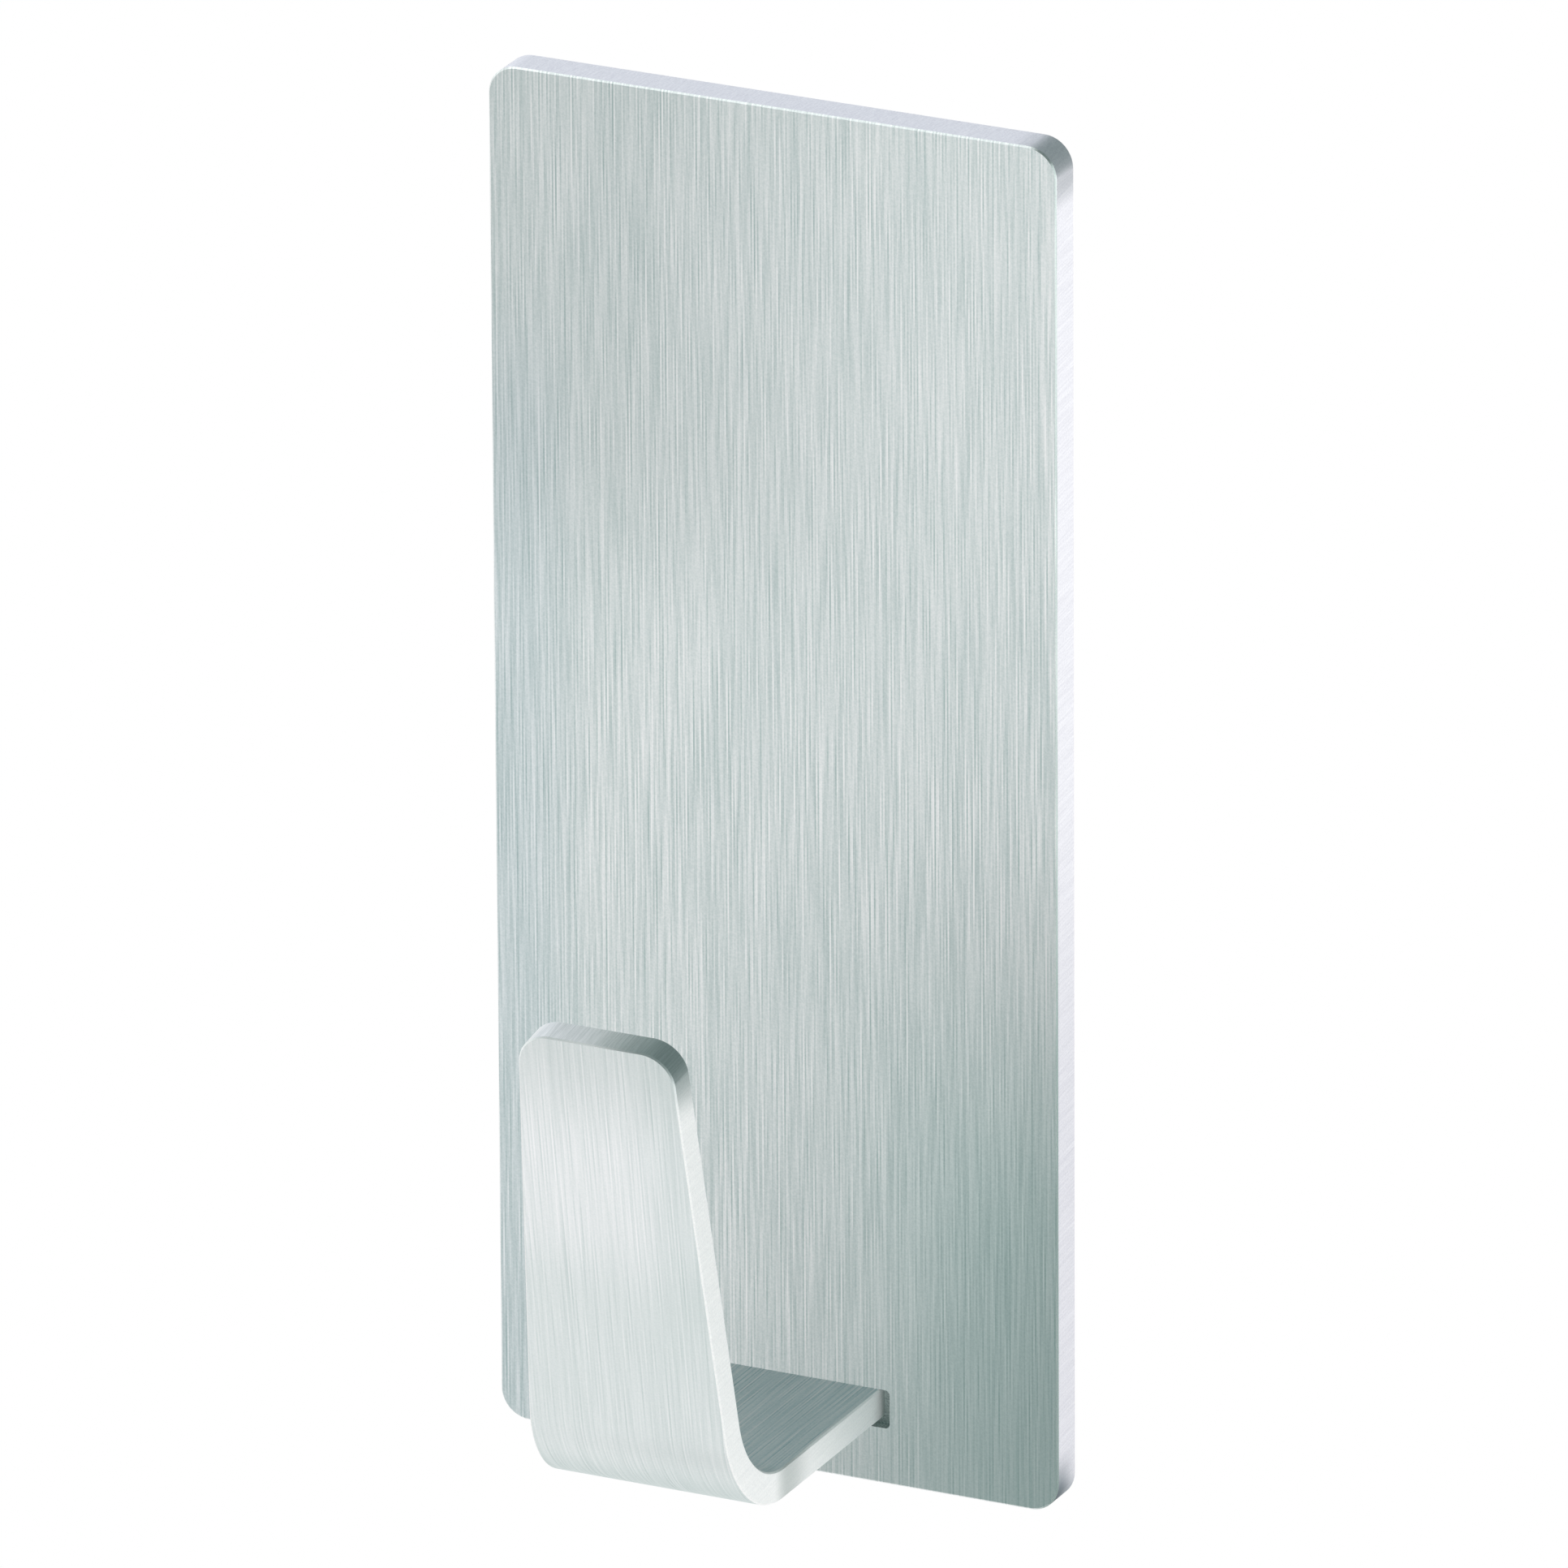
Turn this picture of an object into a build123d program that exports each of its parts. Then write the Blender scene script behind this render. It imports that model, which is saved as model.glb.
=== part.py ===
from build123d import *
import math
import os

# Stick-on wall hook in stainless steel, millimetres.
# +Z is up, the wall is on the +Y side and the hook points to -Y.
# The origin is the centre of the adhesive pad's wall face.

# Back plate
plate_width = 30.0
plate_height = 70.0
plate_thickness = 2.0
plate_corner_radius = 1.5
plate_edge_break = 0.15

# Hook strip
strip_thickness = 1.6
hook_width = 11.0
tip_width = 8.1
tip_corner_radius = 1.6
hook_reach = 20.0
hook_rise = 25.8
hook_lean = 9.0
bend_inner_radius = 4.4
taper_blend_radius = 25.0
hook_edge_break = 0.15

# Slot that takes the hook's tail
slot_foot_margin = 2.9
slot_side_clearance = 0.5
slot_under_clearance = 0.4
slot_corner_radius = 0.25

# Weld behind the slot
weld_depth = 1.5

# Adhesive pad
pad_thickness = 1.0
pad_inset = 2.0
pad_corner_radius = 1.0

# Planes and heights that the pieces share
plate_back = -pad_thickness
plate_front = plate_back - plate_thickness
slot_width = hook_width + 2 * slot_side_clearance
slot_height = strip_thickness + slot_under_clearance
slot_floor = -plate_height / 2 + slot_foot_margin
shelf_underside = slot_floor + slot_under_clearance
shelf_middle = shelf_underside + strip_thickness / 2
slot_middle = slot_floor + slot_height / 2

# Upright of the hook: unit directions along it and from its front face to its back, as (Y, Z)
lean = math.radians(hook_lean)
along_y, along_z = -math.sin(lean), math.cos(lean)
inward_y, inward_z = math.cos(lean), math.sin(lean)


def back_plate():
    """Flat plate with rounded corners, softened edges and a slot right through."""
    blank = extrude(
        Plane.XZ.offset(-plate_back) * RectangleRounded(plate_width, plate_height, plate_corner_radius),
        plate_thickness,
    )
    rims = blank.faces().sort_by(Axis.Y)
    softened = fillet(rims[0].edges() + rims[-1].edges(), plate_edge_break)
    return softened - slot_prism(plate_back, plate_thickness)


def slot_prism(rear, depth):
    """Solid of the slot's outline, from a rear plane forward by a depth."""
    outline = RectangleRounded(slot_width, slot_height, slot_corner_radius)
    return extrude(Plane.XZ.offset(-rear) * Pos(0, slot_middle) * outline, depth)


def hook_centre_line():
    """Middle of the strip from tail to tip, with the points of its corner and tip."""
    tip_y = plate_front - hook_reach + inward_y * strip_thickness / 2
    tip_z = shelf_underside + hook_rise + inward_z * strip_thickness / 2
    corner_y = tip_y - (tip_z - shelf_middle) / along_z * along_y
    tail = (0, plate_back, shelf_middle)
    corner = (0, corner_y, shelf_middle)
    tip = (0, tip_y, tip_z)
    path = FilletPolyline(tail, corner, tip, radius=bend_inner_radius + strip_thickness / 2)
    return path, corner, tip


def hook_outline(upright_length):
    """Flat outline seen square to the upright, with the middle of the tip at the origin."""
    foot = -upright_length - hook_reach
    half_tip = tip_width / 2
    half_hook = hook_width / 2
    corners = [
        (-half_tip, 0),
        (half_tip, 0),
        (half_hook, -upright_length),
        (half_hook, foot),
        (-half_hook, foot),
        (-half_hook, -upright_length),
    ]
    flat = make_face(Polyline(*corners, close=True))
    flat = fillet(flat.vertices().group_by(Axis.Y)[-1], tip_corner_radius)
    return fillet(flat.vertices().group_by(Axis.Y)[1], taper_blend_radius)


def hook():
    """Bent strip: a flat section swept round the bend, cut to the tapering outline, edges softened."""
    path, corner, tip = hook_centre_line()
    section_plane = Plane(origin=path @ 0, x_dir=(1, 0, 0), z_dir=path % 0)
    strip = sweep(section_plane * Rectangle(hook_width, strip_thickness), path)
    upright_length = (Vector(tip) - Vector(corner)).length
    upright_plane = Plane(origin=tip, x_dir=(1, 0, 0), z_dir=(0, -inward_y, -inward_z))
    bent = strip & extrude(upright_plane * hook_outline(upright_length), 2 * hook_reach, both=True)
    tail_face = bent.faces().sort_by_distance(path @ 0)[0]
    tip_face = bent.faces().sort_by_distance(path @ 1)[0]
    side_faces = bent.faces().filter_by(lambda face: abs(face.normal_at().X) > abs(face.normal_at().Y))
    cut_faces = side_faces + [tip_face]
    broad_faces = bent.faces() - cut_faces - [tail_face]
    rims = broad_faces.edges() & cut_faces.edges()
    return fillet(rims, hook_edge_break)


def rear_weld():
    """Weld metal that fills the gap between tail and slot at the back, flush with the plate."""
    tail = extrude(
        Plane.XZ.offset(-plate_back) * Pos(0, shelf_middle) * Rectangle(hook_width, strip_thickness),
        weld_depth,
    )
    return slot_prism(plate_back, weld_depth) - tail


def adhesive_pad():
    """Foam pad inset from the plate's outline, between plate and wall."""
    outline = RectangleRounded(plate_width - 2 * pad_inset, plate_height - 2 * pad_inset, pad_corner_radius)
    return extrude(Plane.XZ * outline, pad_thickness)


os.makedirs("parts", exist_ok=True)
pieces = {
    "back_plate": back_plate(),
    "hook": hook(),
    "rear_weld": rear_weld(),
    "adhesive_pad": adhesive_pad(),
}
for name, piece in pieces.items():
    export_step(piece, f"parts/{name}.step")
    size = piece.bounding_box().size
    print(f"{name}: {len(piece.solids())} solid, {piece.volume:.1f} mm3, "
          f"{size.X:.2f} x {size.Y:.2f} x {size.Z:.2f} mm")
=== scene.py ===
# %% [markdown]
# # A stick-on wall hook in brushed stainless steel
# The hook is two pieces of sheet steel and a foam pad. A flat plate carries a slot, a narrower strip
# stands in the slot, runs out as a shelf and bends up, and the pad behind the plate sticks to the wall.
# The solids come from the frame; this lesson dresses them so that they look like the real thing.

# %% Load the frame
import math
import bmesh
import bpy
from mathutils import Matrix, Vector


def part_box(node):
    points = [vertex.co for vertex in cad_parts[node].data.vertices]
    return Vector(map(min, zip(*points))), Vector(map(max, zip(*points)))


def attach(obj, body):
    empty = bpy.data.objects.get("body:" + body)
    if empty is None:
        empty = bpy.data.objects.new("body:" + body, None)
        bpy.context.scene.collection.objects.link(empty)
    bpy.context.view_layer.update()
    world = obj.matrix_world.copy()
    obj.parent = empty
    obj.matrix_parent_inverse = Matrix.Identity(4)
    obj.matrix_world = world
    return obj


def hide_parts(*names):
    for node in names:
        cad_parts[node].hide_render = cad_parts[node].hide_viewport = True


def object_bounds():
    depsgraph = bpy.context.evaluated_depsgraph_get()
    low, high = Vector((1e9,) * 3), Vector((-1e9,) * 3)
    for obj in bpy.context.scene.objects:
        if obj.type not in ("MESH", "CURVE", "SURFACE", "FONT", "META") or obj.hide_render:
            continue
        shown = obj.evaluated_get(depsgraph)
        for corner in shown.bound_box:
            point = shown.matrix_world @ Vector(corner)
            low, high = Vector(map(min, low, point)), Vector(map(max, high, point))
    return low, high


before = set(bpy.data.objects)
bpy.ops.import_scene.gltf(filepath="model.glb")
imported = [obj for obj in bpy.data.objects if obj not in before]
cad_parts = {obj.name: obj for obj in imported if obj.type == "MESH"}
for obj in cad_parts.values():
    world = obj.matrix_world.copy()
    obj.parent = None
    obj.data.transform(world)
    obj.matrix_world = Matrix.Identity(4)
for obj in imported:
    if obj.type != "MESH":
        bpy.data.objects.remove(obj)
cad_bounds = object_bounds()
print("nodes:", sorted(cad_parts))

# %% [markdown]
# ## Camera
# The picture was taken from the right and a little above, from far away with a long lens, so upright
# edges stay parallel. The camera could be placed by its coordinates, but it is set by its angles round a
# point on the plate's face, because those numbers can be read off and changed one at a time.

# %% Camera
MM = 0.001
VIEW_AZIMUTH = math.radians(25.62)
VIEW_ELEVATION = math.radians(21.03)
VIEW_ROLL = math.radians(-0.32)
VIEW_DISTANCE = 1.257
VIEW_TARGET = Vector((0.51, -3.0, 0.52)) * MM
LENS_MM = 600.0
FAR_CLIP = 20.0

camera_data = bpy.data.cameras.new("camera")
camera_data.lens = LENS_MM
camera_data.clip_end = FAR_CLIP
camera = bpy.data.objects.new("camera", camera_data)
bpy.context.scene.collection.objects.link(camera)
turn = (
    Matrix.Rotation(VIEW_AZIMUTH, 4, "Z")
    @ Matrix.Rotation(math.radians(90) - VIEW_ELEVATION, 4, "X")
    @ Matrix.Rotation(VIEW_ROLL, 4, "Z")
)
backwards = turn @ Vector((0, 0, 1))
camera.matrix_world = Matrix.Translation(VIEW_TARGET + backwards * VIEW_DISTANCE) @ turn
bpy.context.scene.camera = camera
bpy.context.scene.view_settings.view_transform = "Standard"
print("camera stands at", [round(value, 4) for value in camera.location])

# %% [markdown]
# ## Helpers for colours and nodes
# Colours are written as sRGB hex values, as a paint chart gives them, and one function turns them into
# the linear numbers that shaders use. A second function adds a node with its settings and links, so a
# material reads as a short list of what feeds what. The Mix node has one set of sockets for numbers and
# another for colours under the same names, so these are picked by number.

# %% Helpers
NUMBER_A, NUMBER_B, NUMBER_OUT = 2, 3, 0
COLOUR_A, COLOUR_B, COLOUR_OUT = 6, 7, 2


def linear(hex_colour):
    """Linear RGBA of an sRGB hex colour such as #c0c8c8."""
    channels = [int(hex_colour[start:start + 2], 16) / 255 for start in (1, 3, 5)]
    curve = [value / 12.92 if value <= 0.04045 else ((value + 0.055) / 1.055) ** 2.4 for value in channels]
    return (*curve, 1.0)


def add_node(tree, kind, inputs=None, **settings):
    """A new node; inputs holds values, or output sockets that are linked in."""
    node = tree.nodes.new(kind)
    for setting, value in settings.items():
        setattr(node, setting, value)
    for socket, value in (inputs or {}).items():
        if isinstance(value, bpy.types.NodeSocket):
            tree.links.new(value, node.inputs[socket])
        else:
            node.inputs[socket].default_value = value
    return node


def new_material(name):
    """An empty node material and its tree."""
    material = bpy.data.materials.new(name)
    material.use_nodes = True
    material.node_tree.nodes.clear()
    return material, material.node_tree


print("mid grey in linear light:", round(linear("#808080")[0], 3))

# %% [markdown]
# ## Painted soft shades
# Slow drifts of light and shade across the faces and cut edges are painted into the colour as shade,
# and at the plate's lower right as a green cast. Painting them on an image is the usual way. Here each
# one is a tint that grows along one axis of the object, between two places in millimetres, and gates
# along other axes hold it to a stretch. That needs no image, and every drift can be read and changed.

# %% Soft shades
def shade(tree, place, tone, shades):
    """Tone multiplied by tints of painted shade, each given as axis, where it starts, where it is full, tint
    and gates.
    """
    spot = add_node(tree, "ShaderNodeSeparateXYZ", {"Vector": place})
    for axis, start, full, tint, *gates in shades:
        share = add_node(tree, "ShaderNodeMapRange", {
            "Value": spot.outputs[axis], "From Min": start * MM, "From Max": full * MM},
            interpolation_type="SMOOTHSTEP").outputs["Result"]
        for gate_axis, shut, wide in gates:
            opened = add_node(tree, "ShaderNodeMapRange", {
                "Value": spot.outputs[gate_axis], "From Min": shut * MM, "From Max": wide * MM},
                interpolation_type="SMOOTHSTEP")
            share = add_node(tree, "ShaderNodeMath", {
                0: share, 1: opened.outputs["Result"]}, operation="MULTIPLY").outputs["Value"]
        tone = add_node(tree, "ShaderNodeMix", {
            "Factor": share, COLOUR_A: tone, COLOUR_B: linear(tint)},
            data_type="RGBA", blend_type="MULTIPLY").outputs[COLOUR_OUT]
    return tone


# %% [markdown]
# ## Brushed stainless steel
# Brushing with an abrasive belt leaves countless fine scratches, all running one way. To the eye they
# are thin light and dark streaks, a few millimetres long, and every reflection is smeared across them.
# A photograph of the real finish would be the usual way. Here X is snapped into narrow columns that lie
# side by side, and each column takes its own noise, slow along the grain, in two lengths. Part of the
# next column's noise is taken off, because a groove throws up a lip beside it. A broad band and a fine
# speckle keep the sheet from looking ruled. Only X changes quickly, so the streaks follow the strip
# round its bend. Real scratches are several times finer; these are as coarse as they need to be to show.

# %% Brushed grain
SCRATCH_WIDTH = 0.085 * MM
SCRATCHES = ((4.0 * MM, 0.66), (7.0 * MM, 0.28))
LIP = 0.4
COLUMN_STEP = 7.31
UNSNAPPED = 0.001 * MM
BAND_WIDTH = 2.5 * MM
BAND_LENGTH = 8.0 * MM
BAND_SHARE = 0.09
SPECKLE_SIZE = 0.09 * MM
SPECKLE_SHARE = 0.22
MID_NOISE = 0.5


def brushed_grain(tree, place):
    """Height of the brushing, low in a groove and high on a ridge, mostly between 0.2 and 0.8."""
    columns = add_node(tree, "ShaderNodeVectorMath", {
        0: place, 1: (SCRATCH_WIDTH, UNSNAPPED, UNSNAPPED)}, operation="SNAP").outputs["Vector"]
    stretched = add_node(tree, "ShaderNodeMapping", {
        "Vector": place, "Scale": (1 / BAND_WIDTH, 1 / BAND_LENGTH, 1 / BAND_LENGTH)})
    band = add_node(tree, "ShaderNodeTexNoise", {
        "Vector": stretched.outputs["Vector"], "Scale": 1.0, "Detail": 0.0})
    height = add_node(tree, "ShaderNodeMath", {
        0: band.outputs["Fac"], 1: BAND_SHARE, 2: LIP * MID_NOISE}, operation="MULTIPLY_ADD").outputs["Value"]
    for length, share in SCRATCHES:
        for neighbour, weight in ((0, share), (1, -LIP * share)):
            apart = add_node(tree, "ShaderNodeMapping", {
                "Vector": columns, "Location": (COLUMN_STEP * neighbour, 0, 0),
                "Scale": (COLUMN_STEP / SCRATCH_WIDTH, 1 / length, 1 / length)})
            noise = add_node(tree, "ShaderNodeTexNoise", {
                "Vector": apart.outputs["Vector"], "Scale": 1.0, "Detail": 0.0})
            height = add_node(tree, "ShaderNodeMath", {
                0: noise.outputs["Fac"], 1: weight, 2: height}, operation="MULTIPLY_ADD").outputs["Value"]
    pits = add_node(tree, "ShaderNodeTexNoise", {"Vector": place, "Scale": 1 / SPECKLE_SIZE, "Detail": 0.0})
    level = add_node(tree, "ShaderNodeMath", {0: pits.outputs["Fac"], 1: MID_NOISE}, operation="SUBTRACT")
    return add_node(tree, "ShaderNodeMath", {
        0: level.outputs["Value"], 1: SPECKLE_SHARE, 2: height}, operation="MULTIPLY_ADD").outputs["Value"]


print("grain: scratches", round(SCRATCH_WIDTH / MM, 3), "mm wide and",
      [round(length / MM, 1) for length, share in SCRATCHES], "mm long")

# %% Brushed steel
GROOVE, RIDGE = 0.2, 0.8
ROUGHNESS_SWING = 0.05
GRAIN_RELIEF = {"Strength": 0.05, "Distance": 0.01 * MM}
SMEAR = 0.4


def brushed_stainless(name, dark_hex, light_hex, roughness, shades=()):
    """Steel brushed lengthwise: cool grey in the grooves, paler, smoother and neutral on the ridges."""
    material, tree = new_material(name)
    place = add_node(tree, "ShaderNodeTexCoord").outputs["Object"]
    height = brushed_grain(tree, place)
    contrast = add_node(tree, "ShaderNodeMapRange", {
        "Value": height, "From Min": GROOVE, "From Max": RIDGE})
    tone = add_node(tree, "ShaderNodeMix", {
        "Factor": contrast.outputs["Result"], COLOUR_A: linear(dark_hex), COLOUR_B: linear(light_hex)},
        data_type="RGBA").outputs[COLOUR_OUT]
    polish = add_node(tree, "ShaderNodeMapRange", {
        "Value": height, "From Min": GROOVE, "From Max": RIDGE,
        "To Min": roughness + ROUGHNESS_SWING, "To Max": roughness - ROUGHNESS_SWING})
    relief = add_node(tree, "ShaderNodeBump", {"Height": height, **GRAIN_RELIEF})
    across = add_node(tree, "ShaderNodeTangent", direction_type="UV_MAP", uv_map="grain")
    steel = add_node(tree, "ShaderNodeBsdfPrincipled", {
        "Base Color": shade(tree, place, tone, shades), "Metallic": 1.0,
        "Roughness": polish.outputs["Result"], "Anisotropic": SMEAR,
        "Tangent": across.outputs["Tangent"], "Normal": relief.outputs["Normal"]})
    add_node(tree, "ShaderNodeOutputMaterial", {"Surface": steel.outputs["BSDF"]})
    return material


# Plate: cool streaks that catch the light; painted shade darkens the upper left and the left end below the
# top, and a painted green cast tints the lower right.
plate_steel = brushed_stainless("brushed_stainless_plate", "#bfcfce", "#f5f7f7", 0.5, [
    ("X", 11, -9, "#eff0f0", ("Z", 6, 18)),
    ("X", 0, 13, "#f1fdfb", ("Z", -4, -22)),
    ("X", -9, -14, "#f3f7f9", ("Z", 26, 16))])
# Hook: brushed with a finer belt, so the streaks are faint and silky; painted shade darkens it towards the
# tip, over the lower upright, more at the bend's bottom, and towards the upright's right edge.
hook_steel = brushed_stainless("brushed_stainless_hook", "#dee5e5", "#f7f8f9", 0.5, [
    ("Z", -12.5, -5.5, "#ebeeed"),
    ("Z", -28.4, -30.8, "#eaefee"),
    ("Z", -15.5, -20, "#f4f7f6"),
    ("X", 0.5, 5, "#f1f5f4", ("Z", -27, -15))])
# Inside of the hook: not gone over again after bending, so strong cool streaks run along the shelf.
inner_steel = brushed_stainless("brushed_stainless_hook_inside", "#bcd2d6", "#ffffff", 0.5)
# Rim of the plate: burnished to a thin bright line; painted shade dims it everywhere but at its left end, and
# more down the right side, most on its lower part.
rim = brushed_stainless("brushed_stainless_rim", "#d6dcdb", "#ffffff", 0.25, [
    ("X", -13.6, -11.5, "#e8ebeb"),
    ("X", 13.4, 14.8, "#c8cfcd"),
    ("X", 13.4, 14.8, "#d6e2e0", ("Z", 8, -14))])
print("brushed finishes:", [steel.name for steel in (plate_steel, hook_steel, inner_steel, rim)])

# %% [markdown]
# ## Cut edges
# The outline was cut by a die and the edges then tumbled, so they are paler and sandier than the brushed
# faces. A fine noise gives the grit, drawn coarser than real so that it shows. A second noise, stretched
# through the thickness and a little slanted, gives the shear marks that the die leaves. Tumbling rounds
# off and smooths the upper ends most. A wide bevel could show that, but it would eat into the outline, so
# the bump's height sinks slowly towards an end, which turns the light there as a worn edge does.

# %% Cut edges
GRIT = 0.10 * MM
SHEAR_WIDTH = 0.08 * MM
SHEAR_LENGTH = 2.5 * MM
SHEAR_SLANT = (-0.12, 0.0, 0.0)
GRIT_LOW, GRIT_HIGH = 0.3, 0.7
GRIT_RELIEF = {"Strength": 0.1, "Distance": 0.02 * MM}


def cut_steel(name, dark_hex, light_hex, roughness, marks, rolled=(), polish=None, shades=()):
    """Sheared and tumbled steel: sandy grit with shear marks, rolled off and smoother at its upper end.

    Rolled gives axis, where it starts, where it is full and the drop; polish gives the same two places
    along Z and the roughness at the second. Shades are tints of painted shade, built by shade().
    """
    material, tree = new_material(name)
    place = add_node(tree, "ShaderNodeTexCoord").outputs["Object"]
    spot = add_node(tree, "ShaderNodeSeparateXYZ", {"Vector": place})
    grit = add_node(tree, "ShaderNodeTexNoise", {
        "Vector": place, "Scale": 1 / GRIT, "Detail": 2.0, "Roughness": 0.6})
    slanted = add_node(tree, "ShaderNodeMapping", {"Vector": place, "Rotation": SHEAR_SLANT})
    stretched = add_node(tree, "ShaderNodeMapping", {
        "Vector": slanted.outputs["Vector"], "Scale": (1 / SHEAR_WIDTH, 1 / SHEAR_LENGTH, 1 / SHEAR_WIDTH)})
    shear = add_node(tree, "ShaderNodeTexNoise", {
        "Vector": stretched.outputs["Vector"], "Scale": 1.0, "Detail": 1.0})
    height = add_node(tree, "ShaderNodeMix", {
        "Factor": marks, NUMBER_A: grit.outputs["Fac"], NUMBER_B: shear.outputs["Fac"]},
        data_type="FLOAT").outputs[NUMBER_OUT]
    contrast = add_node(tree, "ShaderNodeMapRange", {
        "Value": height, "From Min": GRIT_LOW, "From Max": GRIT_HIGH})
    tone = add_node(tree, "ShaderNodeMix", {
        "Factor": contrast.outputs["Result"], COLOUR_A: linear(dark_hex), COLOUR_B: linear(light_hex)},
        data_type="RGBA").outputs[COLOUR_OUT]
    normal = add_node(tree, "ShaderNodeBump", {"Height": height, **GRIT_RELIEF}).outputs["Normal"]
    for axis, start, full, drop in rolled:
        end = add_node(tree, "ShaderNodeMapRange", {
            "Value": spot.outputs[axis], "From Min": start * MM, "From Max": full * MM},
            interpolation_type="SMOOTHSTEP")
        sunk = add_node(tree, "ShaderNodeMath", {
            0: end.outputs["Result"], 1: -drop * MM}, operation="MULTIPLY")
        normal = add_node(tree, "ShaderNodeBump", {
            "Height": sunk.outputs["Value"], "Strength": 1.0, "Distance": 1.0,
            "Normal": normal}).outputs["Normal"]
    if polish:
        start, full, smooth = polish
        roughness = add_node(tree, "ShaderNodeMapRange", {
            "Value": spot.outputs["Z"], "From Min": start * MM, "From Max": full * MM,
            "To Min": roughness, "To Max": smooth}, interpolation_type="SMOOTHSTEP").outputs["Result"]
    steel = add_node(tree, "ShaderNodeBsdfPrincipled", {
        "Base Color": shade(tree, place, tone, shades), "Metallic": 1.0,
        "Roughness": roughness, "Normal": normal})
    add_node(tree, "ShaderNodeOutputMaterial", {"Surface": steel.outputs["BSDF"]})
    return material


# %% Edge finishes
RIGHT_SIDE = ("X", 12.0, 14.4)
TIP_ROLL = [("Z", -9.3, -5.7, 0.9), ("X", 0.0, 4.05, 0.3), ("X", 0.0, -4.05, 0.32)]
TIP_POLISH = (-9.4, -6.7, 0.4)
# Painted shade on the hook's edges and tip: darker towards the tip's right end, a little over its left part
# short of the corner, and in a band on the shelf's side where the bend begins.
HOOK_PAINTED_SHADES = [
    ("X", -0.5, 3.0, "#b9c4c3", ("Z", -9.6, -6.0)),
    ("X", 0.5, -2.4, "#eaecec", ("X", -4.0, -2.8)),
    ("Y", -15.0, -13.5, "#d9dddc", ("Y", -10.5, -13.3))]

# Plate's edge: pale, with a faint bluish cast; worn at the upper right corner. Painted shade darkens the
# lower right side, most at the front of the lower right corner.
plate_edge = cut_steel(
    "tumbled_steel_plate_edge", "#dadae1", "#f3f3f7", 0.48, 0.4,
    [("Z", 31.8, 34.6, 0.55), ("X", 12.6, 15.0, 0.3)], (32.0, 35.0, 0.46),
    [("Z", 4.0, -14.0, "#f4f4f5", RIGHT_SIDE),
     ("Z", -31.6, -34.5, "#566e76", RIGHT_SIDE, ("Y", -0.8, -2.9)),
     ("Z", -33.3, -35.0, "#8ea2a6", RIGHT_SIDE)])
# Hook's long edges: nearly white and matt, so they outline the strip; they carry the painted shade above.
hook_edge = cut_steel(
    "tumbled_steel_hook_edge", "#eff0f0", "#fdfdfc", 0.65, 0.35, TIP_ROLL, TIP_POLISH, HOOK_PAINTED_SHADES)
# Hook's tip: ground across after bending, so its marks run through the thickness and stand out more; it
# carries the same painted shade.
hook_tip = cut_steel(
    "ground_steel_hook_tip", "#e2e5e4", "#ffffff", 0.65, 0.75, TIP_ROLL, TIP_POLISH, HOOK_PAINTED_SHADES)
# Slot's walls: left as the punch tore them, duller and darker than the outline.
slot_wall = cut_steel("rough_punched_steel", "#a6b6b4", "#eaf2f0", 0.6, 0.3)
# Weld: ground flush but dulled by the heat, so it is the darkest metal here.
weld_steel = cut_steel("dull_weld_steel", "#7c8b89", "#c0cdcb", 0.6, 0.2)
print("cut finishes:", [steel.name for steel in (plate_edge, hook_edge, hook_tip, slot_wall, weld_steel)])

# %% [markdown]
# ## Back plate
# The plate is a stamped rectangle with small corner radii and a slot for the hook's tail. A Boolean could
# cut the slot, but it tends to leave stray edges. Instead a cube of the plate's size has its four through
# edges bevelled into corners, four cuts mark out the slot, and the slot's walls bridge the holes in front
# and back. A last bevel breaks the outer rim, which gives the thin bright line along the edge.

# %% Plate blank
PLATE_CORNER = 1.5 * MM
CORNER_STEPS = 10
PARALLEL = 0.999
THROUGH = Vector((0, 1, 0))


def bevel(mesh, edges, offset, segments):
    """Rounds edges and returns the new faces."""
    made = bmesh.ops.bevel(mesh, geom=edges, offset=offset, offset_type="OFFSET", segments=segments,
                           profile=0.5, affect="EDGES", clamp_overlap=True, material=-1)
    return made["faces"]


def runs_along(edge, axis):
    """True where an edge is parallel to a direction."""
    return abs((edge.verts[1].co - edge.verts[0].co).normalized().dot(axis)) > PARALLEL


def stamped_blank(low, high, corner, steps):
    """A block that fills a box, with its four through edges rounded."""
    mesh = bmesh.new()
    shape = Matrix.Translation((low + high) / 2) @ Matrix.Diagonal((*(high - low), 1))
    bmesh.ops.create_cube(mesh, size=1.0, matrix=shape)
    bevel(mesh, [edge for edge in mesh.edges if runs_along(edge, THROUGH)], corner, steps)
    return mesh


plate_low, plate_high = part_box("back_plate")
mesh = stamped_blank(plate_low, plate_high, PLATE_CORNER, CORNER_STEPS)
print("plate blank in mm:", [round(side / MM, 2) for side in plate_high - plate_low])

# %% Plate slot
SLOT_CORNER = 0.25 * MM
SLOT_STEPS = 4
CUT_TOLERANCE = 0.001 * MM
FACING = 0.9

slot_low, slot_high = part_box("rear_weld")


def cut_through(mesh, place, direction):
    """Cuts all faces along a plane and keeps both sides."""
    whole = list(mesh.verts) + list(mesh.edges) + list(mesh.faces)
    bmesh.ops.bisect_plane(mesh, geom=whole, dist=CUT_TOLERANCE, plane_co=place, plane_no=direction)


def inside_slot(point, margin=0.0):
    """True where a point lies in the slot's opening, seen from the front."""
    in_width = slot_low.x - margin < point.x < slot_high.x + margin
    return in_width and slot_low.z - margin < point.z < slot_high.z + margin


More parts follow.
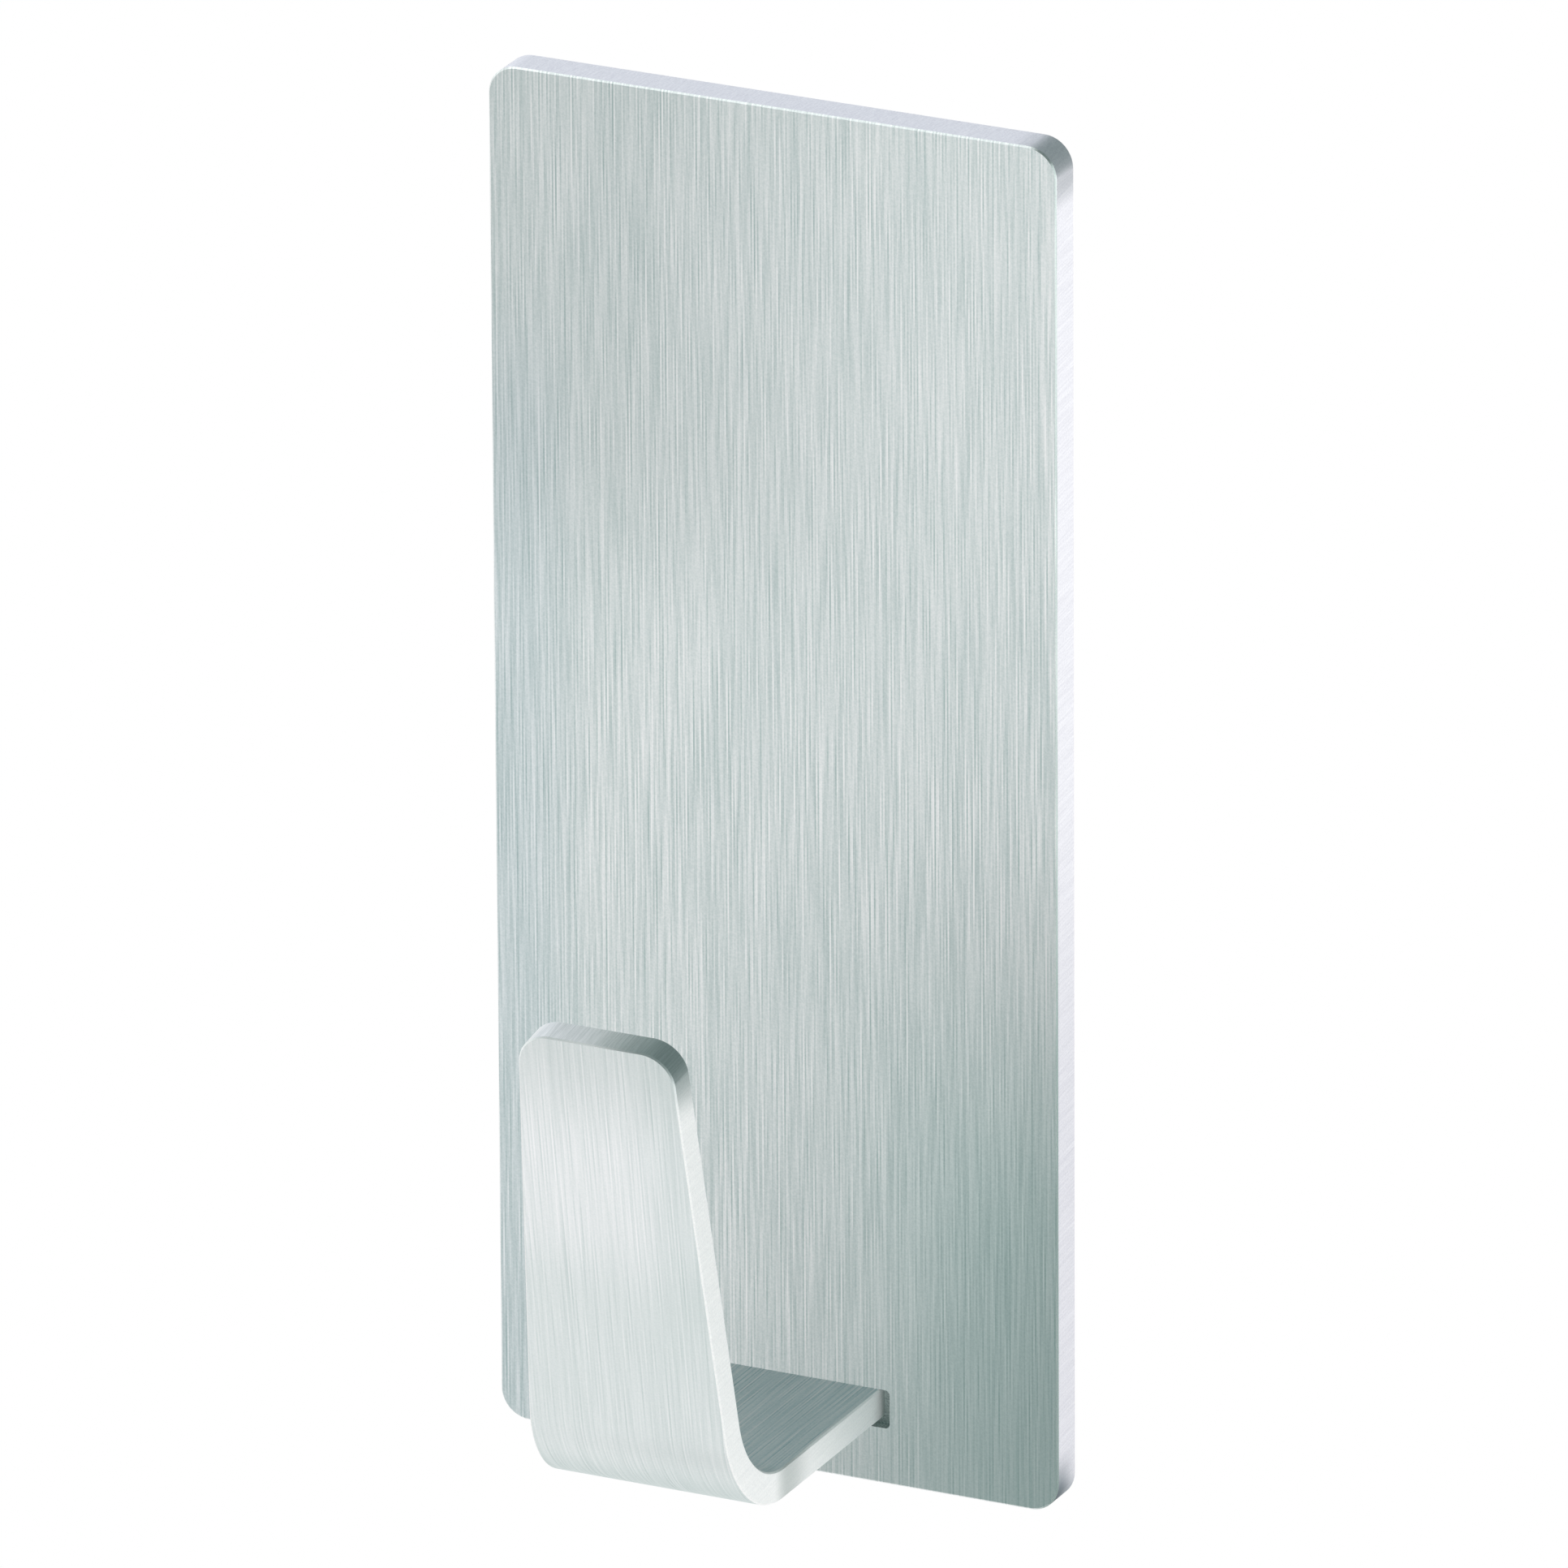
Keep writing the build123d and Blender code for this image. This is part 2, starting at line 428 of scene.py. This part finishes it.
for corner in (slot_low, slot_high):
    for direction in (Vector((1, 0, 0)), Vector((0, 0, 1))):
        cut_through(mesh, corner, direction)
mesh.normal_update()
windows = [face for face in mesh.faces
           if abs(face.normal.y) > FACING and inside_slot(face.calc_center_median())]
window_edges = [edge for face in windows for edge in face.edges]
bmesh.ops.delete(mesh, geom=windows, context="FACES_ONLY")
walls = bmesh.ops.bridge_loops(mesh, edges=window_edges)["faces"]
slot_corners = [edge for face in walls for edge in face.edges if runs_along(edge, THROUGH)]
bevel(mesh, list(dict.fromkeys(slot_corners)), SLOT_CORNER, SLOT_STEPS)
mesh.normal_update()
print("slot in mm:", [round(side / MM, 2) for side in slot_high - slot_low])

# %% Plate finish
EDGE_BREAK = 0.08 * MM
SHARP_FROM = math.radians(30)
FACE, EDGE, RIM, SLOT, TIP, INSIDE = range(6)


def break_rims(mesh, meetings):
    """Bevels the edges where two kinds of face meet, and marks the new faces as rim."""
    rims = [edge for edge in mesh.edges if {face.material_index for face in edge.link_faces} in meetings]
    for face in bevel(mesh, rims, EDGE_BREAK, 1):
        face.material_index = RIM


def finish_piece(mesh, name, node, materials):
    """Turns a bmesh into a piece that stands for a node of the frame."""
    for edge in mesh.edges:
        edge.smooth = edge.calc_face_angle() < SHARP_FROM
    grain = mesh.loops.layers.uv.new("grain")
    for face in mesh.faces:
        face.smooth = True
        for loop in face.loops:
            loop[grain].uv = (loop.vert.co.x / MM, (loop.vert.co.z - loop.vert.co.y) / MM)
    data = bpy.data.meshes.new(name)
    mesh.to_mesh(data)
    mesh.free()
    for material in materials:
        data.materials.append(material)
    piece = bpy.data.objects.new(name, data)
    bpy.context.scene.collection.objects.link(piece)
    weighted = piece.modifiers.new("flat faces stay flat", "WEIGHTED_NORMAL")
    weighted.keep_sharp = True
    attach(piece, "root")
    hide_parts(node)
    print(name, "has", len(data.polygons), "faces")
    return piece


for face in mesh.faces:
    on_face = abs(face.normal.y) > FACING
    near_slot = inside_slot(face.calc_center_median(), EDGE_BREAK)
    face.material_index = FACE if on_face else SLOT if near_slot else EDGE
break_rims(mesh, [{FACE, EDGE}])
finish_piece(mesh, "brushed_plate", "back_plate", [plate_steel, plate_edge, rim, slot_wall])

# %% [markdown]
# ## Hook
# The hook is one strip, cut to a taper while flat and then bent once. A bevelled curve could follow the
# bend, but not the taper with its rounded tip. So the model repeats the bending: a small rectangle at the
# tail is extruded along the shelf, spun round the bend and extruded up to the tip. Each ring of the strip
# is then narrowed by its distance from the tip, the tip's corners are rounded, and the long edges get the
# same small break as the plate.

# %% Hook sizes
STRIP_THICKNESS = 1.6 * MM
TIP_WIDTH = 8.1 * MM
BEND_RADIUS = 5.2 * MM
LEAN = math.radians(9.0)
HOOK_RISE = 25.8 * MM
HOOK_REACH = 20.0 * MM

hook_low, hook_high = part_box("hook")
half_width = hook_high.x
up_strip = Vector((0, -math.sin(LEAN), math.cos(LEAN)))
inward = Vector((0, math.cos(LEAN), math.sin(LEAN)))
front_tip = Vector((0, plate_low.y - HOOK_REACH, hook_low.z + HOOK_RISE))
tip = front_tip + inward * STRIP_THICKNESS / 2
shelf_middle = hook_low.z + STRIP_THICKNESS / 2
upright_length = (tip.z - shelf_middle) / up_strip.z
corner = tip - up_strip * upright_length
bend_angle = math.pi / 2 - LEAN
tangent = BEND_RADIUS * math.tan(bend_angle / 2)
bend_start = corner.y + tangent
print("bend starts", round((plate_low.y - bend_start) / MM, 2), "mm in front of the plate")

# %% Hook strip
BEND_STEPS = 56


def only(kind, parts):
    """The parts of one kind among those that an operator returns."""
    return [part for part in parts if isinstance(part, kind)]


def draw_out(mesh, section, path):
    """Extrudes a section along a straight path and returns the section at the far end."""
    made = bmesh.ops.extrude_face_region(mesh, geom=section)["geom"]
    bmesh.ops.translate(mesh, vec=path, verts=only(bmesh.types.BMVert, made))
    return only(bmesh.types.BMFace, made)


mesh = bmesh.new()
tail_size = Matrix.Diagonal((2 * half_width, STRIP_THICKNESS, 1, 1))
tail_place = Matrix.Translation((0, hook_high.y, shelf_middle)) @ Matrix.Rotation(math.radians(90), 4, "X")
bmesh.ops.create_grid(mesh, x_segments=1, y_segments=1, size=0.5, matrix=tail_place @ tail_size)
section = draw_out(mesh, list(mesh.faces), (0, bend_start - hook_high.y, 0))
around = [part for face in section for part in (face, *face.edges, *face.verts)]
spun = bmesh.ops.spin(mesh, geom=list(dict.fromkeys(around)), axis=(-1, 0, 0), angle=bend_angle,
                      cent=(0, bend_start, shelf_middle + BEND_RADIUS), steps=BEND_STEPS)["geom_last"]
draw_out(mesh, only(bmesh.types.BMFace, spun), up_strip * (upright_length - tangent))
print("strip has", len(mesh.faces), "faces")

# %% Hook taper and tip
TIP_CORNER = 1.6 * MM
TOUCHING = 0.01 * MM


def below_tip(point):
    """How far a point lies below the tip, along the upright."""
    return (tip - point).dot(up_strip)


for vert in mesh.verts:
    share = min(max(below_tip(vert.co) / upright_length, 0), 1)
    vert.co.x = math.copysign(TIP_WIDTH / 2 + (half_width - TIP_WIDTH / 2) * share, vert.co.x)
inner = [face for face in mesh.faces if all(len(edge.link_faces) > 2 for edge in face.edges)]
bmesh.ops.delete(mesh, geom=inner, context="FACES_ONLY")
bmesh.ops.recalc_face_normals(mesh, faces=list(mesh.faces))
tip_edges = [edge for edge in mesh.edges
             if runs_along(edge, inward) and all(below_tip(vert.co) < TOUCHING for vert in edge.verts)]
bevel(mesh, tip_edges, TIP_CORNER, CORNER_STEPS)
mesh.normal_update()
print("tip has", len(tip_edges), "rounded corners")

# %% [markdown]
# ### Hook's finish
# The belt brushed both broad faces, the cut edges were tumbled, and the tail lies in the slot. So each
# face takes the finish of its place on the strip. The break along the edges is finer here than on the
# solid and would let the tip stand a hair further out, so every point is held within the solid's reach.
# The brushed plate beside it shows no clear image of the hook, so the hook is left out of what glossy
# rays meet.

# %% Hook finish
EDGE_ON = 0.5
INWARD_FROM = 0.05

for face in mesh.faces:
    middle = face.calc_center_median()
    at_tip = below_tip(middle) < TIP_CORNER and abs(face.normal.dot(inward)) < EDGE_ON
    at_tail = face.normal.y > FACING and middle.y > hook_high.y - TOUCHING
    on_edge = abs(face.normal.x) > FACING
    face.material_index = SLOT if at_tail else TIP if at_tip else EDGE if on_edge else FACE
break_rims(mesh, [{FACE, EDGE}, {FACE, TIP}])
for face in mesh.faces:
    if face.material_index == FACE and face.normal.dot(inward) > INWARD_FROM:
        face.material_index = INSIDE
for vert in mesh.verts:
    vert.co.y = max(vert.co.y, hook_low.y)
hook = finish_piece(mesh, "brushed_hook", "hook",
                    [hook_steel, hook_edge, hook_edge, slot_wall, hook_tip, inner_steel])
hook.visible_glossy = False

# %% [markdown]
# ## Weld behind the plate
# The tail stands in its slot and a bead of weld fills all but the slot's mouth. The bead's solid has the
# right shape already, so it stays, and only takes the dull, grainy look of weld metal.

# %% Weld
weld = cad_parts["rear_weld"]
for place in weld.material_slots:
    place.material = weld_steel
print("weld keeps its", len(weld.data.polygons), "faces")

# %% [markdown]
# ## Foam and adhesive
# The pad is die-cut foam tape: closed-cell foam between two skins of acrylic adhesive. On its cut sides
# the eye sees small open cells, and on its faces a creamy skin that is glossier where it flowed thin. An
# image of each would do, but round cells from a Voronoi pattern and a slow noise are enough at this size.

# %% Foam and adhesive
CELL = 0.22 * MM
CELL_DENT = {"Strength": 0.5, "Distance": 0.06 * MM}
FLOW = 1.6 * MM
FLOW_RIPPLE = {"Strength": 0.15, "Distance": 0.05 * MM}

# Foam: matt off-white, darker in the cut cells.
foam, tree = new_material("closed_cell_foam")
place = add_node(tree, "ShaderNodeTexCoord").outputs["Object"]
cells = add_node(tree, "ShaderNodeTexVoronoi", {
    "Vector": place, "Scale": 1 / CELL}, feature="F1").outputs["Distance"]
tone = add_node(tree, "ShaderNodeMix", {
    "Factor": cells, COLOUR_A: linear("#c9c9c6"), COLOUR_B: linear("#efefec")}, data_type="RGBA")
dents = add_node(tree, "ShaderNodeBump", {"Height": cells, **CELL_DENT})
body = add_node(tree, "ShaderNodeBsdfPrincipled", {
    "Base Color": tone.outputs[COLOUR_OUT], "Roughness": 0.85, "Normal": dents.outputs["Normal"]})
add_node(tree, "ShaderNodeOutputMaterial", {"Surface": body.outputs["BSDF"]})

# Adhesive skin: creamy, with a wet gloss that comes and goes as the film varies in thickness.
skin, tree = new_material("acrylic_adhesive_skin")
place = add_node(tree, "ShaderNodeTexCoord").outputs["Object"]
flow = add_node(tree, "ShaderNodeTexNoise", {
    "Vector": place, "Scale": 1 / FLOW, "Detail": 3.0}).outputs["Fac"]
tone = add_node(tree, "ShaderNodeMix", {
    "Factor": flow, COLOUR_A: linear("#dcdcd4"), COLOUR_B: linear("#f0f0ea")}, data_type="RGBA")
gloss = add_node(tree, "ShaderNodeMapRange", {"Value": flow, "To Min": 0.22, "To Max": 0.42})
ripple = add_node(tree, "ShaderNodeBump", {"Height": flow, **FLOW_RIPPLE})
body = add_node(tree, "ShaderNodeBsdfPrincipled", {
    "Base Color": tone.outputs[COLOUR_OUT], "Roughness": gloss.outputs["Result"],
    "Normal": ripple.outputs["Normal"]})
add_node(tree, "ShaderNodeOutputMaterial", {"Surface": body.outputs["BSDF"]})
print("foam cells", round(CELL / MM, 2), "mm across")

# %% [markdown]
# ## Adhesive pad
# The pad's big faces are flat, because one rests on the plate and one on the wall, while the cut sides
# draw in a little as foam does when the die lets go. A cloth simulation would puff up a pad this thin, so
# a blank with rounded corners is cut into layers, and each layer is drawn in by a curve.

# %% Adhesive pad
PAD_CORNER = 1.0 * MM
PAD_CORNER_STEPS = 8
PAD_LAYERS = 8
PAD_DRAW_IN = 0.12 * MM
SKIN, FOAM = 0, 1

pad_low, pad_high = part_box("adhesive_pad")
middle = (pad_low + pad_high) / 2
half = (pad_high - pad_low) / 2
mesh = stamped_blank(pad_low, pad_high, PAD_CORNER, PAD_CORNER_STEPS)
for layer in range(1, PAD_LAYERS):
    depth = pad_low.y + (pad_high.y - pad_low.y) * layer / PAD_LAYERS
    cut_through(mesh, (0, depth, 0), THROUGH)
for vert in mesh.verts:
    away = (vert.co.y - middle.y) / half.y
    drawn = PAD_DRAW_IN * (1 - away ** 2)
    vert.co.x *= 1 - drawn / half.x
    vert.co.z *= 1 - drawn / half.z
mesh.normal_update()
for face in mesh.faces:
    face.material_index = SKIN if abs(face.normal.y) > FACING else FOAM
pad = finish_piece(mesh, "foam_pad", "adhesive_pad", [skin, foam])

# %% [markdown]
# ## Floor
# A white paper sweep lies well below the hook. More light could burn it out to white, but that light
# would reach the hook too. So the camera and the metal see it as plain white, while all other rays meet
# matt paper, which keeps its shadow.

# %% Floor
FLOOR_DROP = 150 * MM
FLOOR_HALF = 3.0

# Paper: an even white with no gloss.
paper, tree = new_material("white_paper_sweep")
matt = add_node(tree, "ShaderNodeBsdfDiffuse", {"Color": linear("#f4f4f4")})
white = add_node(tree, "ShaderNodeEmission", {"Color": linear("#ffffff"), "Strength": 1.0})
path = add_node(tree, "ShaderNodeLightPath")
shiny = add_node(tree, "ShaderNodeMath", {
    0: path.outputs["Is Glossy Ray"], 1: path.outputs["Is Transmission Ray"]}, operation="MAXIMUM")
seen = add_node(tree, "ShaderNodeMath", {
    0: path.outputs["Is Camera Ray"], 1: shiny.outputs["Value"]}, operation="MAXIMUM")
mixed = add_node(tree, "ShaderNodeMixShader", {
    0: seen.outputs["Value"], 1: matt.outputs["BSDF"], 2: white.outputs["Emission"]})
add_node(tree, "ShaderNodeOutputMaterial", {"Surface": mixed.outputs["Shader"]})
paper.cycles.emission_sampling = "NONE"


def stage_sheet(name, place, half_size, turn, material):
    """A flat sheet that belongs to the studio, not to the object."""
    mesh = bmesh.new()
    shape = Matrix.Translation(place) @ turn @ Matrix.Diagonal((half_size[0], half_size[1], 1, 1))
    bmesh.ops.create_grid(mesh, x_segments=1, y_segments=1, size=1.0, matrix=shape)
    data = bpy.data.meshes.new(name)
    mesh.to_mesh(data)
    mesh.free()
    data.materials.append(material)
    sheet = bpy.data.objects.new(name, data)
    bpy.context.scene.collection.objects.link(sheet)


floor_level = cad_bounds[0][2] - FLOOR_DROP
stage_sheet("floor", (0, 0, floor_level), (FLOOR_HALF, FLOOR_HALF), Matrix.Identity(4), paper)
print("floor lies at", round(floor_level / MM), "mm")

# %% [markdown]
# ## Studio room
# Brushed metal shows its surroundings, so the studio is drawn as the metal sees it. Panels could stand
# round the hook, but soft round patches in the world are easier to move: a dim room, brighter overhead
# and on two walls, and dimmer in front and behind on the right. The camera itself sees plain white.

# %% Studio room
ROOM = ("#e6f4f3", 0.5)
DIMMEST = 0.05
PATCHES = (
    ((-0.40, -0.05, 0.91), 38, 15, "#ffffff", 1.0),
    ((-0.55, 0.78, 0.33), 37, 15, "#f0ebf6", 0.70),
    ((-0.08, -0.90, 0.42), 50, 22, "#f2f9f8", -0.25),
    ((0.36, 0.84, 0.40), 50, 25, "#ffffff", -0.20),
    ((-0.98, 0.03, 0.21), 32, 12, "#ffffff", 0.60))


def glow_of(tint, strength):
    """A tint as light of a given strength."""
    return Vector(linear(tint)[:3]) * strength


world = bpy.data.worlds.new("studio")
world.use_nodes = True
bpy.context.scene.world = world
tree = world.node_tree
tree.nodes.clear()
look = add_node(tree, "ShaderNodeTexCoord").outputs["Generated"]
glow = glow_of(*ROOM)
for towards, start, full, tint, strength in PATCHES:
    facing = add_node(tree, "ShaderNodeVectorMath", {
        0: look, 1: Vector(towards).normalized()}, operation="DOT_PRODUCT")
    share = add_node(tree, "ShaderNodeMapRange", {
        "Value": facing.outputs["Value"], "From Min": math.cos(math.radians(start)),
        "From Max": math.cos(math.radians(full))}, interpolation_type="SMOOTHSTEP")
    glow = add_node(tree, "ShaderNodeVectorMath", {
        0: share.outputs["Result"], 1: glow_of(tint, strength), 2: glow},
        operation="MULTIPLY_ADD").outputs["Vector"]
dimmest = add_node(tree, "ShaderNodeVectorMath", {0: glow, 1: (DIMMEST,) * 3}, operation="MAXIMUM")
tent = add_node(tree, "ShaderNodeBackground", {"Color": dimmest.outputs["Vector"], "Strength": 1.0})
white = add_node(tree, "ShaderNodeBackground", {"Color": linear("#ffffff"), "Strength": 1.0})
path = add_node(tree, "ShaderNodeLightPath")
mixed = add_node(tree, "ShaderNodeMixShader", {
    0: path.outputs["Is Camera Ray"], 1: tent.outputs["Background"], 2: white.outputs["Background"]})
add_node(tree, "ShaderNodeOutputWorld", {"Surface": mixed.outputs["Shader"]})
print("room has", len(PATCHES), "soft patches")

# %% [markdown]
# ## Lamps
# Soft boxes on the right give the bright edges of plate and hook, and one behind fills the pad. Their
# watts could be set by eye, but a metal shows a lamp's brightness, not its watts, so each lamp is given
# the level that a mirror would show. The one behind would glare on the plate's back, so metal doesn't
# see it.

# %% Lamps
LAMPS = (
    ("right_back", (70, 110, -12), (15, -2, 30), (120, 60), 0.2),
    ("right", (245, 115, -80), (5, -15, -15), (200, 260), 0.55),
    ("right_front", (260, -120, 20), (5, -12, -10), (200, 260), 1.15),
    ("fill_behind", (-40, 320, 60), (0, 0, 0), (240, 240), 1.4))


def softbox(name, place, aim, size, level):
    """An area lamp in millimetres, whose level is the brightness that a mirror would show, 1 being white."""
    width, height = [side * MM for side in size]
    lamp_data = bpy.data.lights.new(name, "AREA")
    lamp_data.shape = "RECTANGLE"
    lamp_data.size = width
    lamp_data.size_y = height
    lamp_data.energy = level * math.pi * width * height
    lamp = bpy.data.objects.new(name, lamp_data)
    bpy.context.scene.collection.objects.link(lamp)
    lamp.location = Vector([value * MM for value in place])
    aimed = Vector([value * MM for value in aim]) - lamp.location
    lamp.rotation_euler = aimed.to_track_quat("-Z", "Y").to_euler()
    lamp.visible_camera = False
    return lamp


lamps = {row[0]: softbox(*row) for row in LAMPS}
lamps["fill_behind"].visible_glossy = False
print("lamps:", list(lamps))

# %% [markdown]
# ## Flag
# Photographers hold a dark cloth, a flag, in front of metal to give its shine a darker end. Here it
# darkens the lower right of the plate. A plain sheet would also shade the hook and show in the picture,
# so only glossy rays meet it, and only those that come from as far as the plate: the hook stands nearer.

# %% Flag
FLAG_PLACE = (12.2 * MM, -33 * MM, -40.7 * MM)
FLAG_HALF = (14.5 * MM, 27 * MM)
FLAG_LEAN = math.radians(25.6)
FLAG_FROM = 30 * MM

# Flag cloth: nearly black, with the green cast that the plate's darker end has.
flag_cloth, tree = new_material("black_flag_cloth")
cloth = add_node(tree, "ShaderNodeEmission", {"Color": linear("#14403c"), "Strength": 1.0})
clear = add_node(tree, "ShaderNodeBsdfTransparent")
path = add_node(tree, "ShaderNodeLightPath")
far = add_node(tree, "ShaderNodeMath", {
    0: path.outputs["Ray Length"], 1: FLAG_FROM}, operation="GREATER_THAN")
shows = add_node(tree, "ShaderNodeMath", {
    0: far.outputs["Value"], 1: path.outputs["Is Glossy Ray"]}, operation="MULTIPLY")
mixed = add_node(tree, "ShaderNodeMixShader", {
    0: shows.outputs["Value"], 1: clear.outputs["BSDF"], 2: cloth.outputs["Emission"]})
add_node(tree, "ShaderNodeOutputMaterial", {"Surface": mixed.outputs["Shader"]})
flag_cloth.cycles.emission_sampling = "NONE"
flag_turn = Matrix.Rotation(FLAG_LEAN, 4, "Y") @ Matrix.Rotation(math.radians(90), 4, "X")
stage_sheet("flag", FLAG_PLACE, FLAG_HALF, flag_turn, flag_cloth)
print("flag is", [round(2 * side / MM) for side in FLAG_HALF], "mm")
